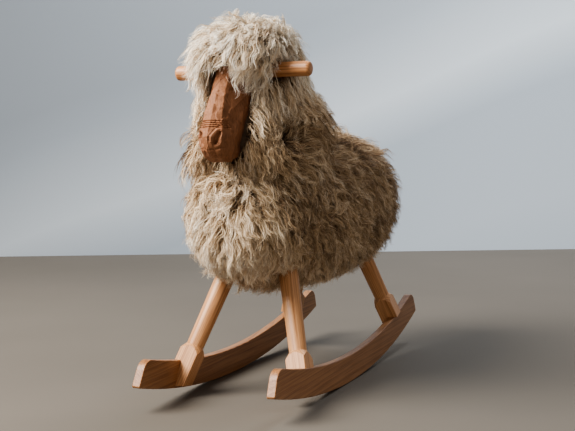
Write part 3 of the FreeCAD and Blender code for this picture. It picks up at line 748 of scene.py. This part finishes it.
# and clear of the handle's two ends
distance, _, _ = near_line(points, handle_a, handle_b)
beyond = np.where(points[..., 0] > 0, points[..., 0] > 0.077, points[..., 0] < -0.088)
blocked |= (distance < handle_radius + 0.003) & beyond
blocked |= (
    beyond
    & (points[..., 1] < handle_middle.y)
    & (np.abs(points[..., 2] - handle_middle.z) < handle_radius + 0.003)
)
for a, b in leg_lines:
    distance, _, _ = near_line(points, a, b)
    distance[:, :3] = 1.0
    blocked |= distance < 0.0185
# a strand that would cross one of these ends just before it, and a very short one is left out
first_blocked = np.where(blocked.any(1), blocked.argmax(1), POINTS)
fraction = np.minimum(1.0, (first_blocked - 0.6) / (POINTS - 1))
keep = first_blocked >= 4
points, fraction, lock = points[keep], fraction[keep], lock[keep]
total = len(lock)
shortened = np.empty_like(points)
for k in range(POINTS):
    place = steps[k] * fraction * (POINTS - 1)
    low_index = np.clip(np.floor(place).astype(int), 0, POINTS - 2)
    part = (place - low_index)[:, None]
    index = np.arange(total)
    shortened[:, k] = points[index, low_index] * (1 - part) + points[index, low_index + 1] * part
points = shortened

# flat tapering ribbons, each turned its own way
tangent = unit(np.gradient(points, axis=1))
facing = normals[lock][:, None, :] + 0.55 * rng.normal(0, 1, (total, 1, 3))
across = unit(np.cross(tangent, facing))
profile = np.interp(steps, [0, 0.15, 0.6, 0.85, 1.0], [0.6, 0.95, 1.0, 0.66, 0.12])
width = rng.uniform(0.00055, 0.00100, total)[:, None] * profile
left = points - across * width[..., None] / 2
right = points + across * width[..., None] / 2

tone_base = (
    2.95
    + 2.35 * head_weight
    + 1.15 * chest
    + 0.7 * belly
    - 0.25 * body_weight
    + 0.5 * value_noise(roots, 14.0, 41)
    + 0.35 * value_noise(roots, 45.0, 43)
    + 0.5 * rng.normal(0, 1, count)
)
# painted shade: the wool is made browner behind the cheeks and above the legs, where shade falls, alike on both sides
for side in (1, -1):
    for spot, size, depth in (
        ((0.065, -0.278, 0.415), 0.045, 1.5),
        ((0.085, -0.225, 0.50), 0.055, 0.9),
        ((0.125, -0.225, 0.37), 0.05, 1.0),
        ((0.14, -0.10, 0.24), 0.045, 1.3),
    ):
        away = roots - np.array(spot) * (side, 1, 1)
        tone_base -= depth * np.exp(-((np.linalg.norm(away, axis=1) / size) ** 2))
segment = (np.arange(POINTS - 1) + 0.5) / (POINTS - 1)
# painted shade: each strand is made darker towards its root, deep in the fleece between the locks, and a little paler
# towards its tip
tone = (
    tone_base[lock][:, None]
    + 0.45 * rng.normal(0, 1, (total, 1))
    - 2.7 * (1 - smoothstep(segment, 0.0, 0.42))[None]
    + 0.5 * smoothstep(segment, 0.55, 1.0)[None]
    + rng.uniform(-0.5, 0.5, (total, POINTS - 1)) * 0.8
)
tone = np.clip(np.round(tone), 0, len(TONES) - 1).astype(int)


def ribbons(name, chosen, node):
    """One mesh object of the chosen strands."""
    amount = len(chosen)
    vertices = np.stack([left[chosen], right[chosen]], axis=2).reshape(-1, 3)
    base = (np.arange(amount) * POINTS * 2)[:, None] + (np.arange(POINTS - 1) * 2)[None]
    quads = np.stack([base, base + 1, base + 3, base + 2], axis=2).reshape(-1, 4)
    mesh = bpy.data.meshes.new(name)
    mesh.vertices.add(len(vertices))
    mesh.vertices.foreach_set("co", vertices.ravel().astype(np.float32))
    mesh.loops.add(quads.size)
    mesh.loops.foreach_set("vertex_index", quads.ravel().astype(np.int32))
    mesh.polygons.add(len(quads))
    mesh.polygons.foreach_set("loop_start", (np.arange(len(quads)) * 4).astype(np.int32))
    for material in wool_materials:
        mesh.materials.append(material)
    mesh.polygons.foreach_set("material_index", tone[chosen].ravel().astype(np.int32))
    mesh.update(calc_edges=True)
    mesh.validate()
    mesh.shade_smooth()
    made = bpy.data.objects.new(name, mesh)
    bpy.context.collection.objects.link(made)
    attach(made, "root")
    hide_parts(node)
    return made


strand_y = roots[lock][:, 1]
strand_z = roots[lock][:, 2]
split_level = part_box("head_fleece")[0][2]
is_head = (strand_z > split_level) & (strand_y < -0.03)
is_neck = ~is_head & (strand_z > 0.34) & (strand_y < -0.05)
is_body = ~is_head & ~is_neck
most = 190000 // ((POINTS - 1) * 2)
for mask, slot, node in (
    (is_head, "head_wool", "head_fleece"),
    (is_neck, "neck_wool", "neck_fleece"),
    (is_body, "body_wool", "body_fleece"),
):
    chosen = np.nonzero(mask)[0]
    parts = max(1, math.ceil(len(chosen) / most))
    for number, share in enumerate(np.array_split(chosen, parts), start=1):
        ribbons(f"{slot}_{number:02d}", share, node)
print("locks", count, "strands", total, "triangles", total * (POINTS - 1) * 2)

# ---------------------------------------------------------------- floor, wall, light, camera
floor_material, nodes, links, shader = new_material("floor_paint", 0.75)
coords = add_node(nodes, "ShaderNodeTexCoord")
cloud = add_node(nodes, "ShaderNodeTexNoise", Scale=0.9, Detail=4.0)
links.new(coords.outputs["Object"], cloud.inputs["Vector"])
cloud_tone = ramp(nodes, [(0.3, (0.104, 0.090, 0.073)), (0.7, (0.130, 0.113, 0.093))])
links.new(cloud.outputs[0], cloud_tone.inputs[0])
links.new(cloud_tone.outputs[0], shader.inputs["Base Color"])
wall_material, nodes, links, shader = new_material("wall_paint_with_painted_light_shaft", 0.85)
coords = add_node(nodes, "ShaderNodeTexCoord")
cloud = add_node(nodes, "ShaderNodeTexNoise", Scale=0.22, Detail=1.0)
links.new(coords.outputs["Object"], cloud.inputs["Vector"])
# painted light: a paler slanting shaft of light on a slightly darker wall
painted_light_shaft_slant = add_node(nodes, "ShaderNodeVectorMath", operation="DOT_PRODUCT")
painted_light_shaft_slant.inputs[1].default_value = (-0.18, -0.073, 0.478)
links.new(coords.outputs["Object"], painted_light_shaft_slant.inputs[0])
wander = add_node(nodes, "ShaderNodeMath", operation="MULTIPLY_ADD")
wander.inputs[1].default_value = 0.6
links.new(cloud.outputs[0], wander.inputs[0])
links.new(painted_light_shaft_slant.outputs["Value"], wander.inputs[2])
raised = add_node(nodes, "ShaderNodeMath", operation="ADD")
raised.inputs[1].default_value = 0.03
links.new(wander.outputs[0], raised.inputs[0])
cloud_tone = ramp(
    nodes,
    [
        (0.0, (0.55, 0.615, 0.685)),
        (0.40, (0.46, 0.52, 0.585)),
        (0.60, (0.66, 0.72, 0.775)),
        (0.90, (0.42, 0.465, 0.515)),
        (1.0, (0.38, 0.42, 0.465)),
    ],
)
links.new(raised.outputs[0], cloud_tone.inputs[0])
links.new(cloud_tone.outputs[0], shader.inputs["Base Color"])

view_turn = 0.390386
ahead = Vector((-math.sin(view_turn), math.cos(view_turn), 0))
aside = Vector((math.cos(view_turn), math.sin(view_turn), 0))
eye = Vector((0.8064, -1.98732, 0.44500))
wall_foot = eye + ahead * 4.5
wall_foot.z = 0
corners = [wall_foot + aside * x - ahead * d for x, d in ((-7, 0), (7, 0), (7, 9), (-7, 9))]
# the wall stands well behind the floor's far edge, so that the back can be looked at too
wall_low = wall_foot + ahead * 3.5 + Vector((0, 0, -3))
floor = mesh_object("floor", corners, [(0, 3, 2, 1)], floor_material, smooth=False)
wall_corners = [wall_low + aside * x + Vector((0, 0, up)) for x, up in ((-11, 0), (11, 0), (11, 9), (-11, 9))]
wall = mesh_object("wall", wall_corners, [(0, 1, 2, 3)], wall_material, smooth=False)


def area_light(name, position, target, size, power, colour):
    light = bpy.data.lights.new(name, "AREA")
    light.shape = "DISK"
    light.size = size
    light.energy = power
    light.color = colour
    made = bpy.data.objects.new(name, light)
    made.location = position
    made.rotation_euler = (Vector(target) - Vector(position)).to_track_quat("-Z", "Y").to_euler()
    bpy.context.collection.objects.link(made)
    return made


middle = Vector((0, -0.05, 0.35))
area_light("key", middle - aside * 2.0 - ahead * 0.9 + Vector((0, 0, 1.9)), middle, 2.2, 245, (1.0, 0.965, 0.91))
area_light("fill", middle + aside * 1.6 - ahead * 2.2 + Vector((0, 0, 1.0)), middle, 2.4, 9, (1.0, 0.94, 0.86))
wall_middle = wall_foot + ahead * 3.5 + Vector((0, 0, 1.5))
area_light("wall_wash", wall_middle - ahead * 3.4 + aside * 1.8 + Vector((0, 0, 3.2)), wall_middle + aside * 0.8, 2.0, 300, (0.93, 0.97, 1.0))
world = bpy.data.worlds.new("studio")
bpy.context.scene.world = world
world.use_nodes = True
world.node_tree.nodes["Background"].inputs["Color"].default_value = (0.92, 0.86, 0.80, 1)
world.node_tree.nodes["Background"].inputs["Strength"].default_value = 0.315

camera_data = bpy.data.cameras.new("view")
camera_data.lens = 69.95
camera_data.sensor_width = 36
camera = bpy.data.objects.new("view", camera_data)
camera.location = eye
camera.rotation_euler = (1.505567, 0.013288, 0.390386)
bpy.context.collection.objects.link(camera)
bpy.context.scene.camera = camera
bpy.context.scene.view_settings.look = "AgX - Medium High Contrast"
